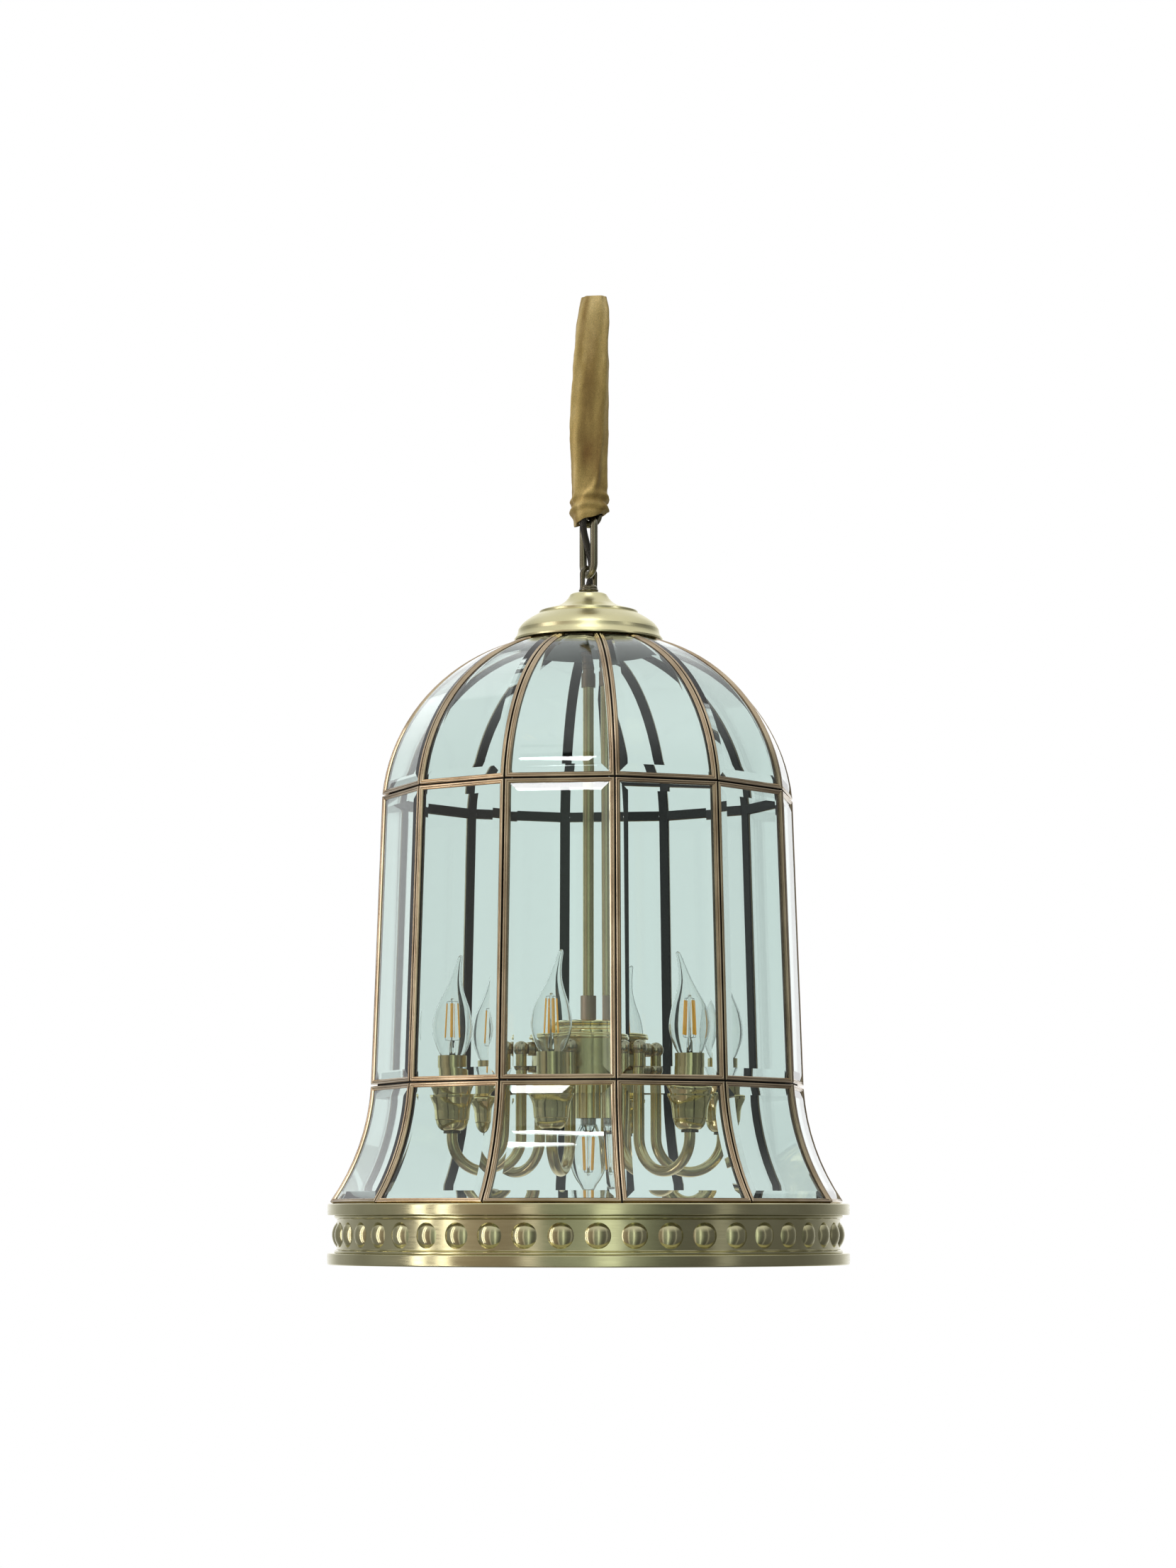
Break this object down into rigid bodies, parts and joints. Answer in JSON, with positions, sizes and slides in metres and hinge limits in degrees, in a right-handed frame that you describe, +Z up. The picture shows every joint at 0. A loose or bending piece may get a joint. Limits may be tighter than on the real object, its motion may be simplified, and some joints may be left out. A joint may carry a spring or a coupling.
{
  "type": "bell lantern pendant light",
  "caption": "Bell-shaped pendant lantern of bevelled glass in brass cames, with a candle-arm cluster, a bossed base ring and a chain in a velvet sleeve.",
  "frame": {"origin": "inside top of the uppermost chain link's eye, where the ceiling hook takes the load", "axes": "+Z up along the plumb line; -Y is the front, +X is to the right as seen from the front"},
  "size_m": [0.4499, 0.45, 0.848],
  "materials": {
    "chain": "antique, satin",
    "velvet": "crushed velvet",
    "flex": "matt braided cover",
    "core_wire": "bare tinned copper ends",
    "bronze": "dark cast, waxed",
    "black_washer": "matt",
    "brass": "brushed antique, satin",
    "plain_brass": "machined",
    "grey_plate": "matt",
    "black_strip": "textured matt",
    "came_brass": "reeded, satin antique",
    "panel_glass": "clear with a faint green edge, bevelled",
    "copper_bronze": "satin copper bronze",
    "cluster_brass": "satin antique",
    "cup_brass": "spun, satin",
    "black_plastic": "moulded",
    "bulb_glass": "clear blown",
    "bulb_metal": "nickel-plated cap"
  },
  "bodies": {
    "upper_chain": {"upper_links": "chain", "velvet_sleeve": "velvet", "flex_upper": "flex", "flex_cores": "core_wire"},
    "lowest_link": {"chain_link": "chain"},
    "lantern": {"flex_lower": "flex", "hanging_loop": "bronze", "loop_washer": "black_washer", "flex_grommet": "black_washer", "canopy_cap": "brass", "top_nipple": "plain_brass", "cap_nut": "plain_brass", "top_plate": "grey_plate", "ribs": "black_strip", "upper_hoop": "black_strip", "lower_hoop": "black_strip", "dome_cames": "came_brass", "straight_cames": "came_brass", "flare_cames": "came_brass", "dome_glass": "panel_glass", "straight_glass": "panel_glass", "flare_glass": "panel_glass", "base_top_rim": "brass", "boss_band": "brass", "base_bottom_rim": "brass", "stem_coupler": "copper_bronze", "stem_collar": "copper_bronze", "stem_tube": "cluster_brass", "stem_ferrule": "copper_bronze", "hub_crown": "cluster_brass", "hub_lid": "cluster_brass", "hub_drum": "cluster_brass", "hub_floor": "cluster_brass", "knuckle_rings": "bronze", "knuckle_balls": "bronze", "arm_tubes": "cluster_brass", "arm_nuts": "bronze", "candle_cups": "cup_brass", "drip_rings": "cup_brass", "candle_tubes": "cluster_brass", "lampholders": "black_plastic", "down_tube": "cup_brass", "down_lampholder": "black_plastic"},
    "bulb_1": {"bulb_1_glass": "bulb_glass", "bulb_1_base": "bulb_metal"},
    "bulb_2": {"bulb_2_glass": "bulb_glass", "bulb_2_base": "bulb_metal"},
    "bulb_3": {"bulb_3_glass": "bulb_glass", "bulb_3_base": "bulb_metal"},
    "bulb_4": {"bulb_4_glass": "bulb_glass", "bulb_4_base": "bulb_metal"},
    "bulb_5": {"bulb_5_glass": "bulb_glass", "bulb_5_base": "bulb_metal"},
    "bulb_6": {"bulb_6_glass": "bulb_glass", "bulb_6_base": "bulb_metal"},
    "down_bulb": {"down_bulb_glass": "bulb_glass", "down_bulb_base": "bulb_metal"}
  },
  "joints": [
    {"name": "link_swing", "type": "hinge", "parent": "upper_chain", "child": "lowest_link", "pos_m": [0, 0, -0.1833], "axis": [0.8829, 0.4695, 0], "range_deg": [-15, 15], "deforming": ["flex_upper"]},
    {"name": "lantern_swing", "type": "hinge", "parent": "lowest_link", "child": "lantern", "pos_m": [0, 0, -0.2282], "axis": [0.4695, -0.8829, 0], "range_deg": [-20, 20], "deforming": ["flex_lower"]},
    {"name": "bulb_1_unscrew", "type": "hinge", "parent": "lantern", "child": "bulb_1", "pos_m": [-0.03106, -0.11591, -0.679], "axis": [0, 0, 1], "range_deg": [0, 1440]},
    {"name": "bulb_2_unscrew", "type": "hinge", "parent": "lantern", "child": "bulb_2", "pos_m": [0.08485, -0.08485, -0.679], "axis": [0, 0, 1], "range_deg": [0, 1440]},
    {"name": "bulb_3_unscrew", "type": "hinge", "parent": "lantern", "child": "bulb_3", "pos_m": [0.11591, 0.03106, -0.679], "axis": [0, 0, 1], "range_deg": [0, 1440]},
    {"name": "bulb_4_unscrew", "type": "hinge", "parent": "lantern", "child": "bulb_4", "pos_m": [0.03106, 0.11591, -0.679], "axis": [0, 0, 1], "range_deg": [0, 1440]},
    {"name": "bulb_5_unscrew", "type": "hinge", "parent": "lantern", "child": "bulb_5", "pos_m": [-0.08485, 0.08485, -0.679], "axis": [0, 0, 1], "range_deg": [0, 1440]},
    {"name": "bulb_6_unscrew", "type": "hinge", "parent": "lantern", "child": "bulb_6", "pos_m": [-0.11591, -0.03106, -0.679], "axis": [0, 0, 1], "range_deg": [0, 1440]},
    {"name": "down_bulb_unscrew", "type": "hinge", "parent": "lantern", "child": "down_bulb", "pos_m": [0, 0, -0.709], "axis": [0, 0, -1], "range_deg": [0, 1440]}
  ]
}
